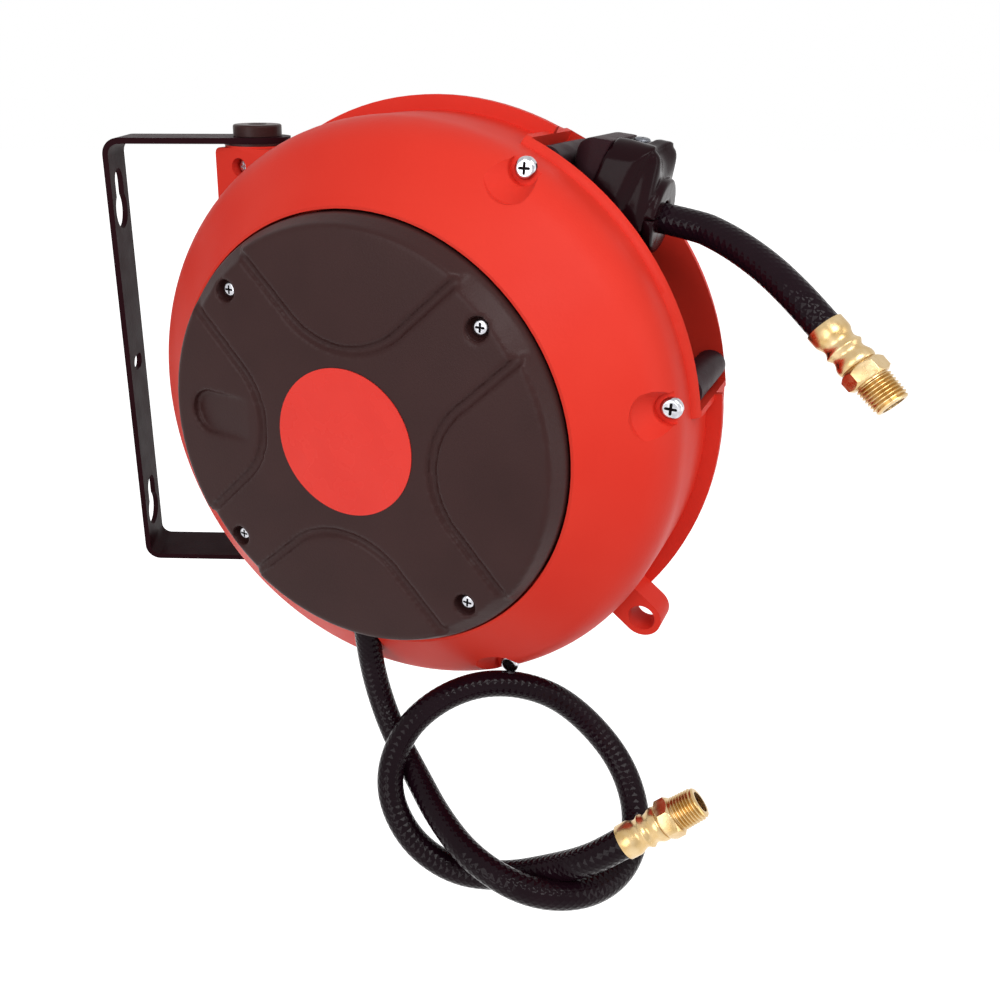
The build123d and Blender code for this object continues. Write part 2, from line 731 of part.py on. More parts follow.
# Hose stopper: rubber nose and two clamped halves
def leaning(plan):
    """Extrude a plan through the stopper's height, leaning along the hose."""
    slope = Vector(stopper_lean, 0, 1)
    height = (stopper_top - stopper_bottom) * slope.length
    start = Pos(stopper_lean * stopper_bottom, 0, stopper_bottom) * plan
    return extrude(start, height, dir=slope.normalized())


hose_tunnel = Pos(stopper_start + 20, 0, 0) * Rot(0, 90, 0) * Cylinder(hose_bore, 100)
nose = block(
    stopper_start, stopper_start + 40, -nose_half_width, nose_half_width, stopper_bottom, stopper_top - 1
)
nose = fillet(nose.faces().sort_by(Axis.X)[0].edges(), nose_round)
nose &= leaning(Pos(stopper_seam - 20, 0) * Rectangle(40, 60))
save("stopper_nose", nose - hose_tunnel, case_frame * line_frame)
plan = Pos((stopper_seam + stopper_back) / 2, 0) * Rectangle(stopper_back - stopper_seam, 2 * stopper_half_width)
plan = fillet(plan.vertices().group_by(Axis.X)[-1], stopper_corner)
middle = (stopper_top + stopper_bottom) / 2
section = Pos(0, middle) * Rectangle(2 * stopper_half_width, stopper_top - stopper_bottom)
section = fillet(section.vertices().group_by(Axis.Y)[-1], stopper_shoulder)
section = fillet(section.vertices().group_by(Axis.Y)[0], stopper_corner)
body = leaning(plan) & extrude(Plane.YZ * section, stopper_end)
neck = Pos((stopper_back + stopper_end) / 2 - 2, 0, 0) * Rot(0, 90, 0)
body += neck * Cylinder(stopper_neck_radius, stopper_end - stopper_back + 2)
collar = Pos((stopper_collar_start + stopper_end) / 2, 0, 0) * Rot(0, 90, 0) * Cylinder(
    stopper_collar_radius, stopper_end - stopper_collar_start
)
body += fillet(collar.edges().filter_by(GeomType.CIRCLE), 1.5)
screw_x = 73.5
channel_depth = 3.5
body -= block(screw_x - 4.5, screw_x + 6.5, -9, 30, stopper_top - channel_depth, stopper_top + 1)
foot_x = screw_x - 2.7
body -= post(4.0, stopper_bottom - 1, stopper_bottom + channel_depth, foot_x, -stopper_screw_spread)
body -= post(small_screw_shank, stopper_bottom - 1, stopper_top - 5.5, foot_x, -stopper_screw_spread)
body -= post(small_screw_shank, stopper_bottom - 1, stopper_top, screw_x, stopper_screw_spread)
body -= hose_tunnel
upper = body & block(0, 200, -50, 50, stopper_split / 2, 60)
lower = body & block(0, 200, -50, 50, -60, -stopper_split / 2)
save("stopper_upper", upper, case_frame * line_frame)
save("stopper_lower", lower, case_frame * line_frame)
clamp_screw = pan_screw(3.4, 2.4, small_screw_shank - 0.1, stopper_top - channel_depth + 11)
rear_screw = Pos(screw_x, stopper_screw_spread, stopper_top - channel_depth) * Rot(-90, 0, 0) * clamp_screw
front_screw = Pos(foot_x, -stopper_screw_spread, stopper_bottom + channel_depth) * Rot(90, 0, 0) * clamp_screw
save("stopper_screws", group([rear_screw, front_screw]), case_frame * line_frame)

# Drum: a front flange and a rear half with the hub barrel
web = band(drum_tube - 1, drum_flange_radius, drum_inside, drum_outside)
rear_half = web + band(bush_outer, drum_tube, drum_outside - bush_length, drum_outside)
rear_half += band(hub_radius - hub_wall, hub_radius, -drum_inside, drum_inside + 1)
rear_half += band(swivel_radius, hub_radius - 1, swivel_half_length + 1, swivel_half_length + 4)
drum = revolve(rear_half, Axis.Y)
drum -= post(nipple_radius + hose_clearance, 0, hub_radius + 2, 0, 0)
front_half = mirror(
    web + band(bush_outer, drum_tube, drum_outside - bush_length, drum_outside), about=Plane.XZ
)
front_flange = revolve(front_half, Axis.Y)
drum_screws = []
for turn in range(6):
    x, z = at_angle(drum_screw_circle, 60 * turn)
    drum += rod(column_radius, -drum_inside, drum_inside + 1, x, z)
    drum -= rod(small_screw_shank, -drum_inside - 1, -drum_inside + 14, x, z)
    front_flange -= rod(small_screw_shank + 0.2, -drum_outside - 1, 0, x, z)
    screw = pan_screw(3.6, 2.0, small_screw_shank - 0.05, 14.0)
    drum_screws.append(Pos(x, -drum_outside, z) * screw)
save("drum_hub", drum)
save("drum_front_flange", front_flange)
save("drum_screws", group(drum_screws))
bush = band(axle_radius + running_clearance, bush_outer - hose_clearance, drum_outside - bush_length, drum_outside)
bush_ring = revolve(bush, Axis.Y)
save("drum_bushes", group([bush_ring, mirror(bush_ring, about=Plane.XZ)]))

# Winding of the hose that is wound on the drum
winding = band(hub_radius + hose_clearance, winding_radius, -winding_half_width, winding_half_width)
winding = fillet(winding.vertices().group_by(Axis.X)[-1], hose_diameter / 2)
save("hose_winding", revolve(winding, Axis.Y))

# Rotary joint in the hub, its seals and the nipple out to the winding
joint = band(axle_radius + running_clearance, swivel_radius - 0.1, -swivel_half_length, swivel_half_length)
groove_radius = axle_radius + running_clearance + seal_thickness
seals = []
for side in (-1, 1):
    middle = side * (swivel_half_length - 4)
    joint -= band(axle_radius - 1, groove_radius, middle - seal_width / 2, middle + seal_width / 2)
    ring = band(
        axle_radius + running_clearance, groove_radius - hose_clearance,
        middle - seal_width / 2 + 0.1, middle + seal_width / 2 - 0.1,
    )
    seals.append(revolve(ring, Axis.Y))
swivel_body = revolve(joint, Axis.Y)
swivel_body += post(nipple_radius, swivel_radius - 2, hub_radius - 0.5)
swivel_body -= post(axle_bore - 1, axle_radius, hub_radius + 1)
save("rotary_joint", swivel_body)
save("joint_seals", group(seals))

# Spring motor
case_back = drum_outside + 2 * spring_case_wall + spring_strip + 2.0
cup = band(axle_radius + 3, spring_case_radius, drum_outside, drum_outside + spring_case_wall)
cup += band(spring_case_radius - spring_case_wall, spring_case_radius, drum_outside, case_back - spring_case_wall)
save("spring_case", revolve(cup, Axis.Y))
lid = band(axle_radius + 3, spring_case_radius, case_back - spring_case_wall, case_back)
save("spring_lid", revolve(lid, Axis.Y))
inner_line = Curve()
outer_line = Curve()
for half in range(2 * spring_coils):
    sign = -1 if half % 2 == 0 else 1
    centre = sign * spring_pitch / 4
    radius = spring_inner_radius + spring_pitch / 2 * half + spring_pitch / 4
    start = 0 if half % 2 == 0 else 180
    inner_line += CenterArc((centre, 0), radius, start, 180)
    outer_line += CenterArc((centre, 0), radius + spring_gauge, start, 180)
first = spring_inner_radius
last = spring_inner_radius + spring_pitch * spring_coils
strip = make_face(
    inner_line + outer_line + Line((first, 0), (first + spring_gauge, 0))
    + Line((last, 0), (last + spring_gauge, 0))
)
strip_front = drum_outside + spring_case_wall + 1.0
save("mainspring", Pos(0, strip_front, 0) * Rot(-90, 0, 0) * extrude(strip, spring_strip))

# Ratchet ring and pawl
tooth_turn = 360 / ratchet_teeth
profile = []
for tooth in range(ratchet_teeth):
    profile.append(at_angle(ratchet_radius, tooth * tooth_turn))
    profile.append(at_angle(ratchet_root, tooth * tooth_turn + 1.0))
ratchet = make_face(Polyline(*profile, close=True)) - Circle(ratchet_bore)
save("ratchet_ring", extrude(Plane.XZ.offset(drum_outside) * ratchet, ratchet_height))
tip = ratchet_radius + pawl_gap
pawl_plan = Pos(0, 0) * Circle(6.5)
pawl_tip = Polyline((-5.5, 3), (-4.5, tip - pawl_circle + 1.5), (1.0, tip - pawl_circle), (5.5, -2), close=True)
pawl_plan += make_face(pawl_tip)
pawl_plan -= Circle(pawl_pin_radius)
pawl_shape = extrude(Plane.XZ.offset(pawl_back) * pawl_plan, pawl_thickness)
save("pawl", Pos(pawl_x, 0, pawl_z) * spin(pawl_angle - 90) * pawl_shape)
pawl_pin = rod(pawl_pin_radius - running_clearance, -floor_depth + 2, -pawl_back + 1.5, pawl_x, pawl_z)
save("pawl_pin", pawl_pin)
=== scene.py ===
import json
from math import cos, pi, radians, sin

import bpy
from mathutils import Matrix, Vector

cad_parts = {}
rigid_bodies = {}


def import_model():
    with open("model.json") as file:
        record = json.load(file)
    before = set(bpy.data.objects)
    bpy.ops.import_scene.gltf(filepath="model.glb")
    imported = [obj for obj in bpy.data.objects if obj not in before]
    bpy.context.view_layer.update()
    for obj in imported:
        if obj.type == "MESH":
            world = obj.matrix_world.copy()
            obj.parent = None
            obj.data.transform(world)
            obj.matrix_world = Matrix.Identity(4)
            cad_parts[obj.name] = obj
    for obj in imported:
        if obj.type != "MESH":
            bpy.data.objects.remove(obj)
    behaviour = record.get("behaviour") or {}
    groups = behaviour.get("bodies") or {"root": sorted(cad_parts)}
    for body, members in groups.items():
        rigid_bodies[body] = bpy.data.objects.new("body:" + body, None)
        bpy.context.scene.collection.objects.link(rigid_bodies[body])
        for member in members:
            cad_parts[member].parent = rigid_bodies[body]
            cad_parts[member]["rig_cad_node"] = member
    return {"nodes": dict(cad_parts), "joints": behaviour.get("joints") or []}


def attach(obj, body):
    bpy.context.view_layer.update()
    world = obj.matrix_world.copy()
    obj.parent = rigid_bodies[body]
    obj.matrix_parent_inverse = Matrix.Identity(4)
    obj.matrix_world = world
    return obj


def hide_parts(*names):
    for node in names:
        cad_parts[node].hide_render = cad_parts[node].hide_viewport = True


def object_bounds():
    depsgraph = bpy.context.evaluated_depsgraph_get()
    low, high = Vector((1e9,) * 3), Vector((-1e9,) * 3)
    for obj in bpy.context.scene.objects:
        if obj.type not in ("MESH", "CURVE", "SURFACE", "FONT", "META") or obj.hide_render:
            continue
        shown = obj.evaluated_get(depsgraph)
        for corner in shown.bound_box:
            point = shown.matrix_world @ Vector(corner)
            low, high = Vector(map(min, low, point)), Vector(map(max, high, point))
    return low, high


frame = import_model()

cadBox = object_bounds()
mm = 0.001
mergeDistance = 0.01 * mm   # corners this near are one corner in a copied CAD node

# the drum's joint gives the middle of the case and the direction of its axle
drumJoint = next(j for j in frame["joints"] if j["name"] == "drum_spin")
axle = Vector(drumJoint["axis"]).normalized()
upward = Vector((0, 0, 1))


def placeAt(origin, along, upHint):
    # matrix with Z along a direction and X as near the hint as it can be
    z = Vector(along).normalized()
    x = (upHint - z * upHint.dot(z)).normalized()
    y = z.cross(x)
    turn = Matrix((x, y, z)).transposed().to_4x4()
    return Matrix.Translation(origin) @ turn


# the case's own axes: X away from the bracket, Y to the back along the axle, Z up
caseAxes = Matrix((axle.cross(upward), axle, upward)).transposed().to_4x4()
casePlace = Matrix.Translation(Vector(drumJoint["pos_m"])) @ caseAxes


def inCase(x, y, z):
    return casePlace @ Vector((x, y, z))


def clearSelection():
    if bpy.context.object and bpy.context.object.mode != "OBJECT":
        bpy.ops.object.mode_set(mode="OBJECT")
    bpy.ops.object.select_all(action="DESELECT")


def pick(obj):
    clearSelection()
    obj.select_set(True)
    bpy.context.view_layer.objects.active = obj
    return obj


def applyModifiers(obj):
    pick(obj)
    for modifier in list(obj.modifiers):
        bpy.ops.object.modifier_apply(modifier=modifier.name)


def settle(obj, place=None):
    # puts an object's place into its mesh, so that the object sits at the origin
    pick(obj)
    bpy.ops.object.transform_apply(location=True, rotation=True, scale=True)
    if place is not None:
        obj.matrix_world = place
        bpy.ops.object.transform_apply(location=True, rotation=True, scale=True)
    return obj


def joined(parts, name):
    clearSelection()
    for part in parts:
        part.select_set(True)
    bpy.context.view_layer.objects.active = parts[0]
    if len(parts) > 1:
        bpy.ops.object.join()
    parts[0].name = name
    return parts[0]


def smooth(obj, angle):
    pick(obj)
    bpy.ops.object.shade_smooth_by_angle(angle=radians(angle))


def rounded(obj, width, segments, angle=30):
    # bevels the edges that turn by more than an angle
    bevel = obj.modifiers.new("edges", "BEVEL")
    bevel.width = width
    bevel.segments = segments
    bevel.limit_method = "ANGLE"
    bevel.angle_limit = radians(angle)
    applyModifiers(obj)


def carved(obj, tool, operation):
    # cuts a piece with a tool shape, and takes the tool away
    cut = obj.modifiers.new("cut", "BOOLEAN")
    cut.operation = operation
    cut.object = tool
    applyModifiers(obj)
    bpy.data.objects.remove(tool)


def nodeCopy(node, name):
    # a copy of a CAD node with its loose triangles merged, ready to be reshaped
    pick(frame["nodes"][node])
    bpy.ops.object.duplicate()
    obj = bpy.context.object
    obj.name = name
    bpy.ops.mesh.customdata_custom_splitnormals_clear()
    bpy.ops.object.mode_set(mode="EDIT")
    bpy.ops.mesh.select_all(action="SELECT")
    bpy.ops.mesh.remove_doubles(threshold=mergeDistance)
    bpy.ops.object.mode_set(mode="OBJECT")
    return obj


def turned(name, profile, sides, closed=True):
    # a lathe along Z: a ring at the first point, drawn on through the others
    first = profile[0]
    bpy.ops.mesh.primitive_circle_add(vertices=sides, radius=first[0], location=(0, 0, first[1]))
    obj = bpy.context.object
    obj.name = name
    bpy.ops.object.transform_apply(location=True)
    bpy.ops.object.mode_set(mode="EDIT")
    bpy.ops.mesh.select_all(action="SELECT")
    if closed:
        bpy.ops.mesh.edge_face_add()
    last = first
    for radius, height in profile[1:]:
        bpy.ops.mesh.extrude_region_move(TRANSFORM_OT_translate={"value": (0, 0, height - last[1])})
        grow = radius / last[0]
        bpy.ops.transform.resize(value=(grow, grow, 1), center_override=(0, 0, height))
        last = (radius, height)
    bpy.ops.mesh.select_all(action="SELECT")
    bpy.ops.mesh.normals_make_consistent(inside=False)
    bpy.ops.object.mode_set(mode="OBJECT")
    return obj


def capped(obj):
    # closes every open rim with one face
    pick(obj)
    bpy.ops.object.mode_set(mode="EDIT")
    bpy.ops.mesh.select_mode(type="EDGE")
    bpy.ops.mesh.select_all(action="DESELECT")
    bpy.ops.mesh.select_non_manifold()
    bpy.ops.mesh.fill_holes(sides=0)
    bpy.ops.mesh.select_all(action="SELECT")
    bpy.ops.mesh.normals_make_consistent(inside=False)
    bpy.ops.object.mode_set(mode="OBJECT")
    return obj


def addPiece(obj, body, material, replacing=()):
    obj.data.materials.clear()
    obj.data.materials.append(material)
    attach(obj, body)
    if replacing:
        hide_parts(*replacing)
    return obj


# place in metres, angles in degrees
camera = {
    "place": (0.14993, -0.47589, 0.15600),
    "azimuth": 2.003,
    "elevation": 23.006,
    "lens": 32.9326,
    "shiftX": 0.12405,
    "shiftY": -0.05124,
    "clip": (0.02, 20),
}


def addCamera():
    data = bpy.data.cameras.new("camera")
    data.lens = camera["lens"]
    data.shift_x = camera["shiftX"]
    data.shift_y = camera["shiftY"]
    data.clip_start, data.clip_end = camera["clip"]
    obj = bpy.data.objects.new("camera", data)
    bpy.context.collection.objects.link(obj)
    obj.location = camera["place"]
    obj.rotation_euler = (radians(90 - camera["elevation"]), 0, radians(camera["azimuth"]))
    bpy.context.scene.camera = obj


def addNode(tree, kind, values=None, links=None, **settings):
    node = tree.nodes.new(kind)
    for name, value in settings.items():
        setattr(node, name, value)
    for socket, value in (values or {}).items():
        node.inputs[socket].default_value = value
    for socket, source in (links or {}).items():
        tree.links.new(source, node.inputs[socket])
    return node


light = {
    "world": 0.34,
    "softboxes": {
        # name: (azimuth, elevation, distance, width, height, power)
        "frontLeft": (-38, 8, 1.5, 0.7, 1.0, 7.2),
        "nearTop": (18, 40, 0.58, 0.26, 0.22, 1.15),
        "lowRight": (60, 6, 1.4, 0.4, 1.2, 3.4),
    },
    "floorDrop": 0.75,
    "floorSize": 24,
    "floorCells": 4,
    "floorWhite": 0.82,
}


def seenDirectly(tree, *rays):
    # 1 where one of these kinds of ray arrives, and 0 for light that falls on the object
    path = addNode(tree, "ShaderNodeLightPath")
    seen = path.outputs[rays[0]]
    for ray in rays[1:]:
        seen = addNode(tree, "ShaderNodeMath", operation="MAXIMUM",
                       links={0: seen, 1: path.outputs[ray]}).outputs[0]
    return seen


def addWorld():
    world = bpy.data.worlds.new("studio")
    bpy.context.scene.world = world
    world.use_nodes = True
    tree = world.node_tree
    tree.nodes.clear()
    seen = seenDirectly(tree, "Is Camera Ray", "Is Glossy Ray", "Is Transmission Ray")
    strength = addNode(tree, "ShaderNodeMapRange", values={"To Min": light["world"], "To Max": 1.0},
                       links={"Value": seen})
    back = addNode(tree, "ShaderNodeBackground", values={"Color": (1, 1, 1, 1)},
                   links={"Strength": strength.outputs[0]})
    addNode(tree, "ShaderNodeOutputWorld", links={"Surface": back.outputs[0]})


def addSoftbox(name, azimuth, elevation, distance, width, height, power):
    data = bpy.data.lights.new(name, "AREA")
    data.shape = "RECTANGLE"
    data.size = width
    data.size_y = height
    data.energy = power
    obj = bpy.data.objects.new(name, data)
    bpy.context.collection.objects.link(obj)
    centre = inCase(0, 0, 0)
    a, e = radians(azimuth), radians(elevation)
    back = Vector((sin(a) * cos(e), -cos(a) * cos(e), sin(e)))
    obj.location = centre + back * distance
    obj.rotation_mode = "QUATERNION"
    obj.rotation_quaternion = (-back).to_track_quat("-Z", "Y")


def addFloor():
    cells = light["floorCells"]
    bpy.ops.mesh.primitive_grid_add(x_subdivisions=cells, y_subdivisions=cells, size=light["floorSize"])
    floor = bpy.context.object
    floor.name = "floor"
    floor.location = (0, 0, cadBox[0].z - light["floorDrop"])
    material = bpy.data.materials.new("paleFloor")
    material.use_nodes = True
    tree = material.node_tree
    tree.nodes.clear()
    seen = seenDirectly(tree, "Is Camera Ray", "Is Glossy Ray")
    white = light["floorWhite"]
    pale = addNode(tree, "ShaderNodeBsdfDiffuse", values={"Color": (white, white, white, 1)})
    glow = addNode(tree, "ShaderNodeEmission", values={"Color": (1, 1, 1, 1)}, links={"Strength": seen})
    both = addNode(tree, "ShaderNodeAddShader", links={0: pale.outputs[0], 1: glow.outputs[0]})
    addNode(tree, "ShaderNodeOutputMaterial", links={"Surface": both.outputs[0]})
    floor.data.materials.append(material)


bpy.context.scene.view_settings.view_transform = "Standard"
addCamera()
addWorld()
for softbox, values in light["softboxes"].items():
    addSoftbox(softbox, *values)
addFloor()
print("stage ready")


def hexColour(code):
    # an sRGB hex value as linear red, green, blue and alpha
    parts = [int(code[i:i + 2], 16) / 255 for i in (1, 3, 5)]
    return [c / 12.92 if c <= 0.04045 else ((c + 0.055) / 1.055) ** 2.4 for c in parts] + [1.0]


def newMaterial(name, **sockets):
    material = bpy.data.materials.new(name)
    material.use_nodes = True
    tree = material.node_tree
    tree.nodes.clear()
    shader = addNode(tree, "ShaderNodeBsdfPrincipled")
    for socket, value in sockets.items():
        shader.inputs[socket.replace("_", " ")].default_value = value
    addNode(tree, "ShaderNodeOutputMaterial", links={"Surface": shader.outputs[0]})
    return material, tree, shader


def surfaceNoise(tree, size, detail=2.0, stretch=None):
    # noise whose lumps are about size metres across
    source = addNode(tree, "ShaderNodeTexCoord").outputs["Object"]
    if stretch:
        source = addNode(tree, "ShaderNodeMapping", values={"Scale": stretch},
                         links={"Vector": source}).outputs[0]
    return addNode(tree, "ShaderNodeTexNoise", values={"Scale": 1 / size, "Detail": detail},
                   links={"Vector": source}).outputs[0]


# the values between which most of a noise lies
noiseSpan = {"colour": (0.35, 0.65), "roughness": (0.3, 0.7)}
# a Mix node's colour sockets by number, since its sockets share their names
mixSockets = {"first": 6, "second": 7, "result": 2}


def varyColour(tree, shader, colours, size):
    # drifts slowly between two close colours
    low, high = noiseSpan["colour"]
    share = addNode(tree, "ShaderNodeMapRange", values={"From Min": low, "From Max": high},
                    links={"Value": surfaceNoise(tree, size)})
    mix = addNode(tree, "ShaderNodeMix", data_type="RGBA", links={"Factor": share.outputs[0]},
                  values={mixSockets["first"]: hexColour(colours[0]),
                          mixSockets["second"]: hexColour(colours[1])})
    tree.links.new(mix.outputs[mixSockets["result"]], shader.inputs["Base Color"])


def varyRoughness(tree, shader, span, size):
    # drifts between two roughnesses, so that a highlight isn't even
    low, high = noiseSpan["roughness"]
    value = addNode(tree, "ShaderNodeMapRange",
                    values={"From Min": low, "From Max": high, "To Min": span[0], "To Max": span[1]},
                    links={"Value": surfaceNoise(tree, size)})
    tree.links.new(value.outputs[0], shader.inputs["Roughness"])


def addGrain(tree, shader, depth, size, detail, stretch=None):
    # lumps of a real size and depth in the surface
    bump = addNode(tree, "ShaderNodeBump", values={"Distance": depth, "Strength": 1.0},
                   links={"Height": surfaceNoise(tree, size, detail, stretch)})
    tree.links.new(bump.outputs[0], shader.inputs["Normal"])


def mouldedRedAbs():
    # injection-moulded ABS: even colour, fine spark texture, soft wide highlight
    material, tree, shader = newMaterial("mouldedRedAbs", IOR=1.53, Specular_IOR_Level=0.12)
    varyColour(tree, shader, ("#E33628", "#E63B2C"), 50 * mm)
    varyRoughness(tree, shader, (0.46, 0.54), 30 * mm)
    addGrain(tree, shader, 0.06 * mm, 1.1 * mm, 3.0)
    return material


def mouldedBlackAbs():
    # cover and caps: black ABS with a light spark texture, greyed where it faces the light
    material, tree, shader = newMaterial("mouldedBlackAbs", IOR=1.53, Specular_IOR_Level=0.14)
    varyColour(tree, shader, ("#351C1B", "#3A2120"), 40 * mm)
    varyRoughness(tree, shader, (0.36, 0.44), 20 * mm)
    addGrain(tree, shader, 0.07 * mm, 0.9 * mm, 3.0)
    return material


def powderCoatBlack():
    # powder coat on steel strap: satin, slight orange peel about a millimetre across
    material, tree, shader = newMaterial("powderCoatBlack", IOR=1.5, Specular_IOR_Level=0.03)
    varyColour(tree, shader, ("#260D13", "#2B1218"), 30 * mm)
    varyRoughness(tree, shader, (0.40, 0.48), 12 * mm)
    addGrain(tree, shader, 0.08 * mm, 1.6 * mm, 2.0)
    return material


def glossBlackNylon():
    # polished mould: sharp highlights with a faint waviness
    material, tree, shader = newMaterial("glossBlackNylon", IOR=1.53, Specular_IOR_Level=0.07)
    varyColour(tree, shader, ("#1C080D", "#210C11"), 20 * mm)
    varyRoughness(tree, shader, (0.16, 0.24), 10 * mm)
    addGrain(tree, shader, 0.08 * mm, 4 * mm, 1.0)
    return material


def mouldedRubber():
    # bumper nose and seals: matt black rubber, slightly mottled
    material, tree, shader = newMaterial("mouldedRubber", IOR=1.52, Specular_IOR_Level=0.06)
    varyColour(tree, shader, ("#2A161B", "#301B20"), 12 * mm)
    varyRoughness(tree, shader, (0.42, 0.52), 8 * mm)
    addGrain(tree, shader, 0.08 * mm, 0.8 * mm, 3.0)
    return material


braid = {
    "pitch": 3 * mm,        # along the hose from one crossing to the next
    "strands": 12,          # round the hose, each way
    "strandWidth": 0.5,     # as a share of the space between two strands
    "softness": 0.15,       # of the valleys where strands meet
    "depth": 0.32 * mm,
}


def braidedPvc():
    # glossy PVC jacket drawn over a textile braid that shows through as small diamonds
    material, tree, shader = newMaterial("braidedPvc", IOR=1.53, Specular_IOR_Level=0.08)
    varyColour(tree, shader, ("#190A12", "#1E0E16"), 20 * mm)
    varyRoughness(tree, shader, (0.08, 0.13), 20 * mm)
    uv = addNode(tree, "ShaderNodeUVMap", uv_map="alongHose")
    split = addNode(tree, "ShaderNodeSeparateXYZ", links={"Vector": uv.outputs[0]})
    along = addNode(tree, "ShaderNodeMath", operation="DIVIDE",
                    links={0: split.outputs[0]}, values={1: braid["pitch"]})
    around = addNode(tree, "ShaderNodeMath", operation="MULTIPLY",
                     links={0: split.outputs[1]}, values={1: braid["strands"]})
    waves = []
    for direction in ("ADD", "SUBTRACT"):
        turn = addNode(tree, "ShaderNodeMath", operation=direction,
                       links={0: along.outputs[0], 1: around.outputs[0]})
        waves.append(addNode(tree, "ShaderNodeMath", operation="PINGPONG",
                             links={0: turn.outputs[0]}, values={1: braid["strandWidth"]}))
    height = addNode(tree, "ShaderNodeMath", operation="SMOOTH_MAX",
                     links={0: waves[0].outputs[0], 1: waves[1].outputs[0]},
                     values={2: braid["softness"]})
    bump = addNode(tree, "ShaderNodeBump", values={"Distance": braid["depth"], "Strength": 1.0},
                   links={"Height": height.outputs[0]})
    tree.links.new(bump.outputs[0], shader.inputs["Normal"])
    return material


def paintedRecessShade():
    # painted shade: near-black colour for the deep driver recess of a plated screw, which is too narrow to
    # reflect the room and so lies in shade
    material, tree, shader = newMaterial("paintedRecessShade", IOR=1.5, Specular_IOR_Level=0.05)
    varyColour(tree, shader, ("#0C0A0C", "#151215"), 2 * mm)
    varyRoughness(tree, shader, (0.6, 0.7), 2 * mm)
    addGrain(tree, shader, 0.03 * mm, 1 * mm, 2.0)
    return material


def machinedBrass():
    # turned and crimped brass: bright yellow metal with fine tool marks
    material, tree, shader = newMaterial("machinedBrass", Metallic=1.0)
    varyColour(tree, shader, ("#C6A56E", "#D6BC90"), 6 * mm)
    varyRoughness(tree, shader, (0.24, 0.36), 3 * mm)
    addGrain(tree, shader, 0.05 * mm, 1.2 * mm, 3.0)
    return material


def brightZinc():
    # zinc-plated steel screws
    material, tree, shader = newMaterial("brightZinc", Metallic=1.0)
    varyColour(tree, shader, ("#B4B4BA", "#CFCFD4"), 2 * mm)
    varyRoughness(tree, shader, (0.12, 0.22), 2 * mm)
    addGrain(tree, shader, 0.04 * mm, 1 * mm, 2.0)
    return material


def rolledSteel():
    # plain spring steel, oiled; on the stopper's screws its darker colour is painted shade of their recess
    material, tree, shader = newMaterial("rolledSteel", Metallic=1.0)
    varyColour(tree, shader, ("#6E7076", "#7E8086"), 10 * mm)
    varyRoughness(tree, shader, (0.28, 0.42), 5 * mm)
    addGrain(tree, shader, 0.04 * mm, 0.6 * mm, 2.0, (1, 1, 12))
    return material


def naturalAcetal():
    # turned from white bar: milky, with a low sheen
    material, tree, shader = newMaterial("naturalAcetal", IOR=1.48)
    varyColour(tree, shader, ("#D8D5CB", "#E0DDD4"), 10 * mm)
    varyRoughness(tree, shader, (0.35, 0.45), 6 * mm)
    addGrain(tree, shader, 0.04 * mm, 1 * mm, 2.0)
    return material


def labelVinyl():
    # plain vinyl disc, smoother and a little brighter than the case
    material, tree, shader = newMaterial("labelVinyl", IOR=1.5, Specular_IOR_Level=0.3)
    varyColour(tree, shader, ("#F5372B", "#F93C30"), 20 * mm)
    varyRoughness(tree, shader, (0.24, 0.30), 10 * mm)
    addGrain(tree, shader, 0.03 * mm, 3 * mm, 1.0)
    return material


red = mouldedRedAbs()
blackAbs = mouldedBlackAbs()
powder = powderCoatBlack()
gloss = glossBlackNylon()
rubber = mouldedRubber()
hosePvc = braidedPvc()
brass = machinedBrass()
zinc = brightZinc()
recessShade = paintedRecessShade()
steel = rolledSteel()
acetal = naturalAcetal()
vinyl = labelVinyl()
print("materials ready")


def splinePoints(name, route, resolution):
    # the smooth line that a NURBS spline draws through a route, read back as points
    curve = bpy.data.curves.new(name, "CURVE")
    curve.dimensions = "3D"
    spline = curve.splines.new("NURBS")
    spline.points.add(len(route) - 1)
    for point, place in zip(spline.points, route):
        point.co = (*place, 1)
    spline.order_u = 3
    spline.use_endpoint_u = True
    spline.resolution_u = resolution
    obj = bpy.data.objects.new(name, curve)
    bpy.context.collection.objects.link(obj)
    bpy.context.view_layer.update()
    mesh = bpy.data.meshes.new_from_object(obj)
    line = [v.co.copy() for v in mesh.vertices]
    bpy.data.objects.remove(obj)
    bpy.data.meshes.remove(mesh)
    return line


def evenly(line, step):
    # the same line with points a fixed step apart, and its length
    tolerance = 1e-9
    out = [line[0]]
    spare = 0.0
    total = sum((b - a).length for a, b in zip(line, line[1:]))
    step = total / max(1, round(total / step))
    for a, b in zip(line, line[1:]):
        run = (b - a).length
        while spare + run >= step - tolerance:
            share = (step - spare) / run
            a = a.lerp(b, share)
            out.append(a.copy())
            run = (b - a).length
            spare = 0.0
        spare += run
    if (out[-1] - line[-1]).length > step / 2:
        out.append(line[-1])
    else:
        out[-1] = line[-1]
    return out, total


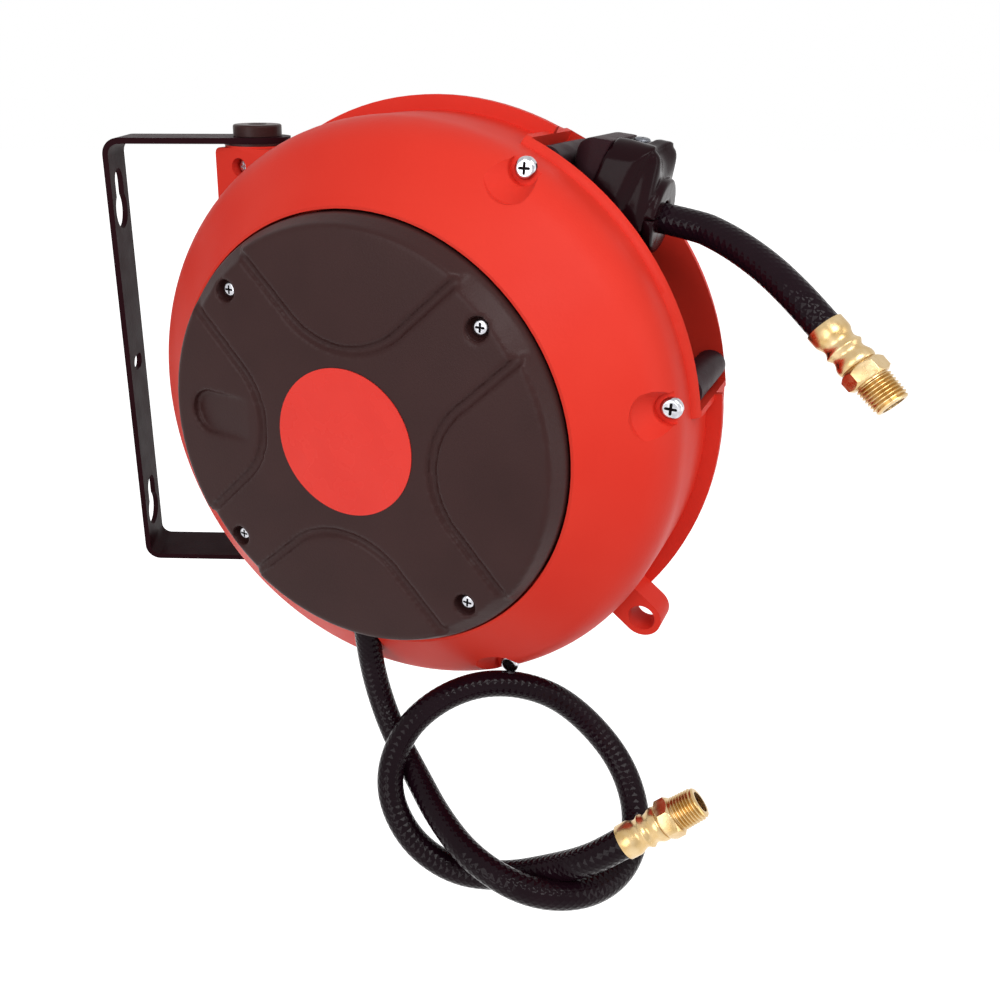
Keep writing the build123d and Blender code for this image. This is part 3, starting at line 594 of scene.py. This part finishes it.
def hoseTube(name, line, radius, sides):
    # a tube round the line, with a UV map in metres along it and turns round it
    rings = []
    forward = (line[1] - line[0]).normalized()
    side = forward.orthogonal().normalized()
    travelled = [0.0]
    for i, centre in enumerate(line):
        if i:
            travelled.append(travelled[-1] + (centre - line[i - 1]).length)
        ahead = line[min(i + 1, len(line) - 1)] - line[max(i - 1, 0)]
        ahead.normalize()
        side = (side - ahead * side.dot(ahead)).normalized()
        across = ahead.cross(side)
        turns = [2 * pi * k / sides for k in range(sides)]
        rings.append([centre + (side * cos(a) + across * sin(a)) * radius for a in turns])
    points = [p for ring in rings for p in ring]
    faces = []
    for i in range(len(rings) - 1):
        for k in range(sides):
            n = (k + 1) % sides
            faces.append((i * sides + k, i * sides + n, (i + 1) * sides + n, (i + 1) * sides + k))
    # a fan of triangles closes each end
    ends = len(points)
    points += [line[0], line[-1]]
    top = (len(rings) - 1) * sides
    for k in range(sides):
        n = (k + 1) % sides
        faces.append((ends, n, k))
        faces.append((ends + 1, top + k, top + n))
    mesh = bpy.data.meshes.new(name)
    mesh.from_pydata(points, [], faces)
    uv = mesh.uv_layers.new(name="alongHose")
    for face in mesh.polygons:
        if len(face.vertices) < 4:
            continue
        columns = [v % sides for v in face.vertices]
        wraps = 0 in columns and sides - 1 in columns   # the face that closes the tube
        for corner in face.loop_indices:
            vertex = mesh.loops[corner].vertex_index
            k = vertex % sides
            turn = 1.0 if wraps and k == 0 else k / sides
            uv.data[corner].uv = (travelled[vertex // sides], turn)
    obj = bpy.data.objects.new(name, mesh)
    bpy.context.collection.objects.link(obj)
    smooth(obj, hose["smoothAngle"])
    return obj


hose = {
    "diameter": 12 * mm,
    "sides": 40,
    "step": 1.5 * mm,
    "smoothAngle": 60,
    "splineCells": 24,      # points that the spline draws between two of the route's
    "inside": 5 * mm,       # how far it runs into each ferrule
    # the supply hose from its elbow under the cover, in metres in the case's axes
    "inlet": [
        (0, -0.066, -0.0492), (0, -0.066, -0.070), (0.003, -0.067, -0.097), (0.009, -0.069, -0.123),
        (0.023, -0.076, -0.143), (0.042, -0.086, -0.154), (0.061, -0.099, -0.160), (0.083, -0.110, -0.163),
        (0.108, -0.110, -0.167), (0.128, -0.096, -0.170), (0.138, -0.074, -0.170), (0.137, -0.052, -0.162),
        (0.124, -0.037, -0.148), (0.104, -0.034, -0.132), (0.085, -0.040, -0.119), (0.063, -0.053, -0.114),
        (0.045, -0.068, -0.120), (0.033, -0.084, -0.134), (0.033, -0.099, -0.154), (0.049, -0.106, -0.172),
        (0.072, -0.105, -0.180), (0.095, -0.099, -0.175), (0.112, -0.095, -0.165), (0.128, -0.095, -0.151),
        (0.139, -0.090, -0.140),
    ],
    # the working hose from the top of the drum, out through the window
    "outlet": [
        (0.01183, 0, 0.10380), (0.113, 0, 0.0923), (0.129, -0.006, 0.088), (0.145, -0.013, 0.081),
        (0.1586, -0.0206, 0.0727), (0.1698, -0.0251, 0.0638),
    ],
}


def hoseRoute(name, ontoCollar):
    # the route in the frame's axes, run on a little into what holds the hose
    route = [inCase(*p) for p in hose[name]]
    if ontoCollar:
        back = (route[0] - route[1]).normalized()
        route.insert(0, route[0] + back * hose["inside"])
    on = (route[-1] - route[-2]).normalized()
    route.append(route[-1] + on * hose["inside"])
    return route


def addHose(name, body, ontoCollar):
    route = splinePoints(name + "Line", hoseRoute(name, ontoCollar), hose["splineCells"])
    line, length = evenly(route, hose["step"])
    obj = hoseTube(name + "Hose", line, hose["diameter"] / 2, hose["sides"])
    addPiece(obj, body, hosePvc, [name + "_hose"])
    print(name, "hose", round(length, 4))


ferrule = {
    "radius": 7.15 * mm,
    "length": 19.2 * mm,
    "bore": 6.05 * mm,
    "boreDepth": 4 * mm,
    # the mouth's rim: where its inner edge, its corner and its outer edge lie behind the mouth
    "rim": (0.4 * mm, 0.1 * mm, 0.5 * mm),
    "rimRound": 0.15 * mm,
    "endRound": (0.7 * mm, 0.05 * mm),
    "waist": 1.15 * mm,
    # where the jaws pressed it: (share of the length from the mouth, share of the waist's depth)
    "crimp": [(0.26, 0.0), (0.32, 0.25), (0.38, 0.75), (0.43, 1.0), (0.47, 1.0), (0.52, 0.6),
              (0.56, 0.15), (0.59, 0.1), (0.63, 0.5), (0.67, 0.95), (0.71, 1.0), (0.76, 0.7),
              (0.82, 0.2), (0.87, 0.0), (0.93, 0.0), (0.975, 0.2)],
    "sides": 64,
    "smoothAngle": 38,
    "marks": 8,
    "markSpans": [(0.42, 0.53), (0.66, 0.77)],      # shares of the length
    "markWidth": (0.12, 0.62),                      # shares of an eighth of the turn
    "markInset": 0.22 * mm,
    "markDepth": 0.35 * mm,
    "wallMargin": 0.2 * mm,                         # keeps the marks off the bore
}
fitting = {
    "flats": 14 * mm,
    "hexLength": 6.2 * mm,
    "cornerRadii": (0.84, 1.03),    # of the cone that turns the corners, at its ends and its middle
    "cornerHeights": (0.24, 0.76),  # between which the corners are whole
    "coneSides": 48,
    "coneOver": 0.02 * mm,
    "edgeRound": 0.25 * mm,
    "edgeSteps": 2,
    "edgeAngle": 25,
    "bore": 4 * mm,
    "boreDepth": 9 * mm,
    "sides": 64,
    "smoothAngle": 32,
    "threadRadius": 6.5 * mm,
    "threadLength": 11.2 * mm,
    "threadDepth": 0.85 * mm,
    "threadInside": 0.1 * mm,
    "crests": 8,
    "plainRun": (0.5, 0.6),         # in pitches: the end of the plain root, and the first crest's foot
    "crestShape": (0.36, 0.52, 0.92),   # in pitches from its foot: the flat top's ends, and the root
    "crestTaper": 0.35 * mm,
    "rootTaper": 0.25 * mm,
    "endRound": 0.5 * mm,
}


def ferrulePiece(name):
    # crimped sleeve: plain mouth, two waists where the jaws pressed it
    size = ferrule
    length, radius, bore = size["length"], size["radius"], size["bore"]
    inner, corner, outer = size["rim"]
    profile = [(bore, size["boreDepth"] - length), (bore, inner - length),
               (radius - size["rimRound"], corner - length), (radius, outer - length)]
    for share, depth in size["crimp"]:
        profile.append((radius - size["waist"] * depth, -length * (1 - share)))
    profile += [(radius - size["endRound"][0], -size["endRound"][1]), (bore, 0.0)]
    obj = turned(name, profile, size["sides"], closed=False)
    # small oblong marks pressed into both waists
    pick(obj)
    start, end = size["markWidth"]
    for face in obj.data.polygons:
        share = 1 + face.center.z / length
        across = Vector((face.center.x, face.center.y))
        around = (across.angle_signed(Vector((1, 0))) / (2 * pi) * size["marks"]) % 1
        inWaist = any(low < share < high for low, high in size["markSpans"])
        outside = across.length > bore + size["wallMargin"]
        face.select = inWaist and outside and start < around < end
    bpy.ops.object.mode_set(mode="EDIT")
    bpy.ops.mesh.select_mode(type="FACE")
    bpy.ops.mesh.inset(thickness=size["markInset"], depth=-size["markDepth"])
    bpy.ops.object.mode_set(mode="OBJECT")
    smooth(obj, size["smoothAngle"])
    return obj


def fittingPiece(name):
    # hexagon with turned corners and a tapered male thread beyond it
    size = fitting
    hexLength = size["hexLength"]
    hexRadius = size["flats"] / 2 / cos(pi / 6)
    bpy.ops.mesh.primitive_cylinder_add(vertices=6, radius=hexRadius, depth=hexLength,
                                        location=(0, 0, hexLength / 2))
    hexagon = settle(bpy.context.object)
    narrow, wide = (hexRadius * share for share in size["cornerRadii"])
    low, high = (hexLength * share for share in size["cornerHeights"])
    cone = turned("cornerCone", [(narrow, -size["coneOver"]), (wide, low), (wide, high),
                                 (narrow, hexLength + size["coneOver"])], size["coneSides"])
    carved(hexagon, capped(cone), "INTERSECT")
    rounded(hexagon, size["edgeRound"], size["edgeSteps"], size["edgeAngle"])
    start = hexLength - size["threadInside"]
    plainEnd, firstFoot = size["plainRun"]
    crests = size["crests"]
    pitch = size["threadLength"] / (crests + firstFoot)
    root = size["threadRadius"] - size["threadDepth"]
    flatStart, flatEnd, rootAt = size["crestShape"]
    profile = [(size["bore"], start), (root, start), (root, start + plainEnd * pitch)]
    for crest in range(crests):
        foot = start + (firstFoot + crest) * pitch
        top = size["threadRadius"] - size["crestTaper"] * crest / crests
        if crest == crests - 1:
            top -= size["crestTaper"]
        profile += [(top, foot + flatStart * pitch), (top, foot + flatEnd * pitch),
                    (root - size["rootTaper"] * crest / crests, foot + rootAt * pitch)]
    end = start + size["threadLength"]
    profile += [(root - size["endRound"], end), (size["bore"], end),
                (size["bore"], end - size["boreDepth"])]
    thread = capped(turned("thread", profile, size["sides"], closed=False))
    obj = joined([hexagon, thread], name)
    smooth(obj, size["smoothAngle"])
    return obj


def hoseEnd(name, body):
    # both brass pieces at the end of a hose, turned to the hose's last run
    route = [inCase(*p) for p in hose[name]]
    along = (route[-1] - route[-2]).normalized()
    place = placeAt(route[-1] + along * ferrule["length"], along, upward)
    sleeve = settle(ferrulePiece(name + "Ferrule"), place)
    nut = settle(fittingPiece(name + "Fitting"), place)
    addPiece(sleeve, body, brass, [name + "_ferrule"])
    addPiece(nut, body, brass, [name + "_fitting"])
    return [sleeve, nut]


inletEnd = hoseEnd("inlet", "case")
outletEnd = hoseEnd("outlet", "hose_line")
print("hose ends ready")


# a moulding's edges are rounded by rebuilding its skin in small cells and easing that skin
softMouldings = {
    # node: (body, slot, cell, rounds of easing)
    "front_cover": ("case", "cover_black", 1 * mm, 5),
    "stopper_nose": ("hose_line", "seal_rubber", 0.5 * mm, 10),
    "stopper_upper": ("hose_line", "stopper_black", 0.5 * mm, 22),
    "stopper_lower": ("hose_line", "stopper_black", 0.5 * mm, 22),
}
easing = {"share": 0.5, "smoothAngle": 60}

# the stopper's own axes: X along the hose, Y across, Z up, from the hose's first point
lineStart, lineNext = (inCase(*p) for p in hose["outlet"][:2])
lineAlong = (lineNext - lineStart).normalized()
lineAxes = Matrix((lineAlong, axle, lineAlong.cross(axle))).transposed().to_4x4()
linePlace = Matrix.Translation(lineStart) @ lineAxes

# the upper half's back, in the stopper's axes: a rounded block, and a dip eased into its end
stopperBack = {
    "centre": (0.0815, 0, 0.0095),
    "size": (0.0150, 0.032, 0.034),
    "round": 5 * mm,
    "roundSteps": 4,
    "dipAt": (0.0865, 0, 0.028),
    "dipShift": (-0.003, 0, -0.003),
    "dipReach": 16 * mm,
}


def backBlock():
    # fills in behind the clamp, down to the hose's collar
    bpy.ops.mesh.primitive_cube_add(size=1, location=stopperBack["centre"], scale=stopperBack["size"])
    block = settle(bpy.context.object)
    rounded(block, stopperBack["round"], stopperBack["roundSteps"])
    return settle(block, linePlace)


def eased(obj):
    # pulls the skin round the back's end in and down, fading out over a reach
    target = linePlace @ Vector(stopperBack["dipAt"])
    nearest = min(obj.data.vertices, key=lambda v: (v.co - target).length)
    pick(obj)
    for vertex in obj.data.vertices:
        vertex.select = vertex.index == nearest.index
    bpy.ops.object.mode_set(mode="EDIT")
    bpy.ops.transform.translate(value=linePlace.to_3x3() @ Vector(stopperBack["dipShift"]),
                                use_proportional_edit=True, proportional_edit_falloff="SMOOTH",
                                proportional_size=stopperBack["dipReach"])
    bpy.ops.object.mode_set(mode="OBJECT")
    return obj


def softened(node, material, extra=()):
    body, slotName, cell, rounds = softMouldings[node]
    obj = nodeCopy(node, "soft_" + node)
    del obj["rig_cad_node"]      # its skin is new, so it is a piece of its own
    joined([obj, *extra], obj.name)
    skin = obj.modifiers.new("skin", "REMESH")
    skin.mode = "VOXEL"
    skin.voxel_size = cell
    ease = obj.modifiers.new("ease", "SMOOTH")
    ease.factor = easing["share"]
    ease.iterations = rounds
    applyModifiers(obj)
    smooth(obj, easing["smoothAngle"])
    print(node, "softened,", len(obj.data.polygons), "faces")
    return addPiece(obj, body, material, [node])


rimPocket = {
    "circle": 128.4 * mm,
    "angles": (62.2, 13.2, -58.5),
    "mouthRadius": 12 * mm,
    "mouthDepth": 54.8 * mm,
    "mouthSides": 48,
    "reach": 40 * mm,
    "smoothAngle": 24,
}


def pocketPlaces():
    # across and up from the axle
    turns = [radians(angle) for angle in rimPocket["angles"]]
    return [(rimPocket["circle"] * cos(a), rimPocket["circle"] * sin(a)) for a in turns]


coverScrewOffset = 59.65 * mm
screwCross = {
    # name: (arm length, arm width, height of the head's top along the axle, places across and up)
    "caseCross": (4.6 * mm, 1.3 * mm, 44 * mm, pocketPlaces()),
    "coverCross": (3.6 * mm, 1.1 * mm, 77 * mm,
                   [(coverScrewOffset * i, coverScrewOffset * k) for i in (-1, 1) for k in (-1, 1)]),
}
crossBar = {"depth": 0.9 * mm, "sunk": 0.35 * mm, "endRound": 0.3 * mm, "roundSteps": 2}


def addScrewCrosses(name, length, width, top, places):
    # painted shade: a dark cross of two short bars with tapered ends, sunk into each screw head where the
    # shade of its driver recess falls
    bars = []
    for x, z in places:
        for turn in (0, pi / 2):
            bpy.ops.mesh.primitive_cube_add(size=1, location=(x, crossBar["sunk"] - top, z),
                                            rotation=(0, turn, 0),
                                            scale=(length, crossBar["depth"], width))
            bar = settle(bpy.context.object)
            rounded(bar, crossBar["endRound"], crossBar["roundSteps"])
            bars.append(settle(bar, casePlace))
    addPiece(joined(bars, name), "case", recessShade)


for crossName, crossValues in screwCross.items():
    addScrewCrosses(crossName, *crossValues)
print("screw crosses ready")

winding = {"stepsPerTurn": 8, "sides": 96, "smoothAngle": 50}


def woundHose():
    # the hose on the drum, its turns lying side by side, inside the plain ring that stands for it
    ring = [casePlace.inverted() @ v.co for v in frame["nodes"]["hose_winding"].data.vertices]
    reach = [Vector((p.x, p.z)).length for p in ring]
    inner, outer = min(reach), max(reach)
    front, back = min(p.y for p in ring), max(p.y for p in ring)
    turns = round((back - front) / hose["diameter"])
    pitch = (back - front) / turns
    crown = pitch / 2
    steps = winding["stepsPerTurn"]
    profile = [(inner, front), (outer - crown, front)]
    for turn in range(turns):
        for step in range(1, steps + 1):
            a = pi * step / steps
            height = front + pitch * turn + crown * (1 - cos(a))
            profile.append((outer - crown + crown * sin(a), height))
    profile.append((inner, back))
    coil = pick(turned("woundHose", profile, winding["sides"], closed=False))
    bpy.ops.object.mode_set(mode="EDIT")
    bpy.ops.mesh.select_mode(type="EDGE")
    bpy.ops.mesh.select_all(action="DESELECT")
    bpy.ops.mesh.select_non_manifold()
    bpy.ops.mesh.bridge_edge_loops()
    bpy.ops.mesh.select_all(action="SELECT")
    bpy.ops.mesh.normals_make_consistent(inside=False)
    bpy.ops.object.mode_set(mode="OBJECT")
    smooth(coil, winding["smoothAngle"])
    # the lathe's axis is laid along the axle
    settle(coil, casePlace @ Matrix.Rotation(-pi / 2, 4, "X"))
    addPiece(coil, "drum", gloss, ["hose_winding"])


woundHose()
print("hose winding ready")


def openedShell():
    # front shell with the mouths of its rim pockets cut clear through the skin
    shell = nodeCopy("front_shell", "openedShell")
    middle = rimPocket["mouthDepth"] + rimPocket["reach"] / 2
    for x, z in pocketPlaces():
        bpy.ops.mesh.primitive_cylinder_add(
            vertices=rimPocket["mouthSides"], radius=rimPocket["mouthRadius"],
            depth=rimPocket["reach"], location=(x, -middle, z), rotation=(pi / 2, 0, 0))
        carved(shell, settle(bpy.context.object, casePlace), "DIFFERENCE")
    smooth(shell, rimPocket["smoothAngle"])
    print("front_shell opened,", len(shell.data.polygons), "faces")
    addPiece(shell, "case", red, ["front_shell"])


openedShell()
softened("front_cover", blackAbs)
stopper = [softened("stopper_nose", rubber),
           eased(softened("stopper_upper", gloss, [backBlock()])),
           softened("stopper_lower", gloss)]

addHose("inlet", "case", True)
addHose("outlet", "hose_line", False)

# moulded, turned and bent nodes whose shapes are already right take their finishes
carried = {
    "rear_shell": red, "cover_label": vinyl,
    "wall_bracket": powder, "pivot_caps": blackAbs, "pivot_washers": blackAbs,
    "pivot_screws": zinc, "pivot_pins": zinc, "case_screws": zinc, "lug_screws": zinc,
    # the stopper's screws take the darker rolled steel instead of zinc, as painted shade of the deep
    # recess they sit in
    "cover_screws": zinc, "stopper_screws": steel, "roller_sleeves": zinc,
    "upper_roller": rubber, "lower_roller": rubber,
    "main_axle": steel, "axle_nut": zinc, "axle_screw": zinc, "inlet_elbow": brass,
    "inlet_collar": brass, "drum_hub": blackAbs, "drum_front_flange": blackAbs,
    "drum_screws": zinc, "drum_bushes": acetal, "rotary_joint": brass,
    "joint_seals": rubber, "spring_case": steel, "spring_lid": steel, "mainspring": steel,
    "ratchet_ring": blackAbs, "pawl": blackAbs, "pawl_pin": zinc,
}
for node, material in carried.items():
    surface = frame["nodes"][node].data.materials
    surface.clear()
    surface.append(material)
print("frame pieces dressed")
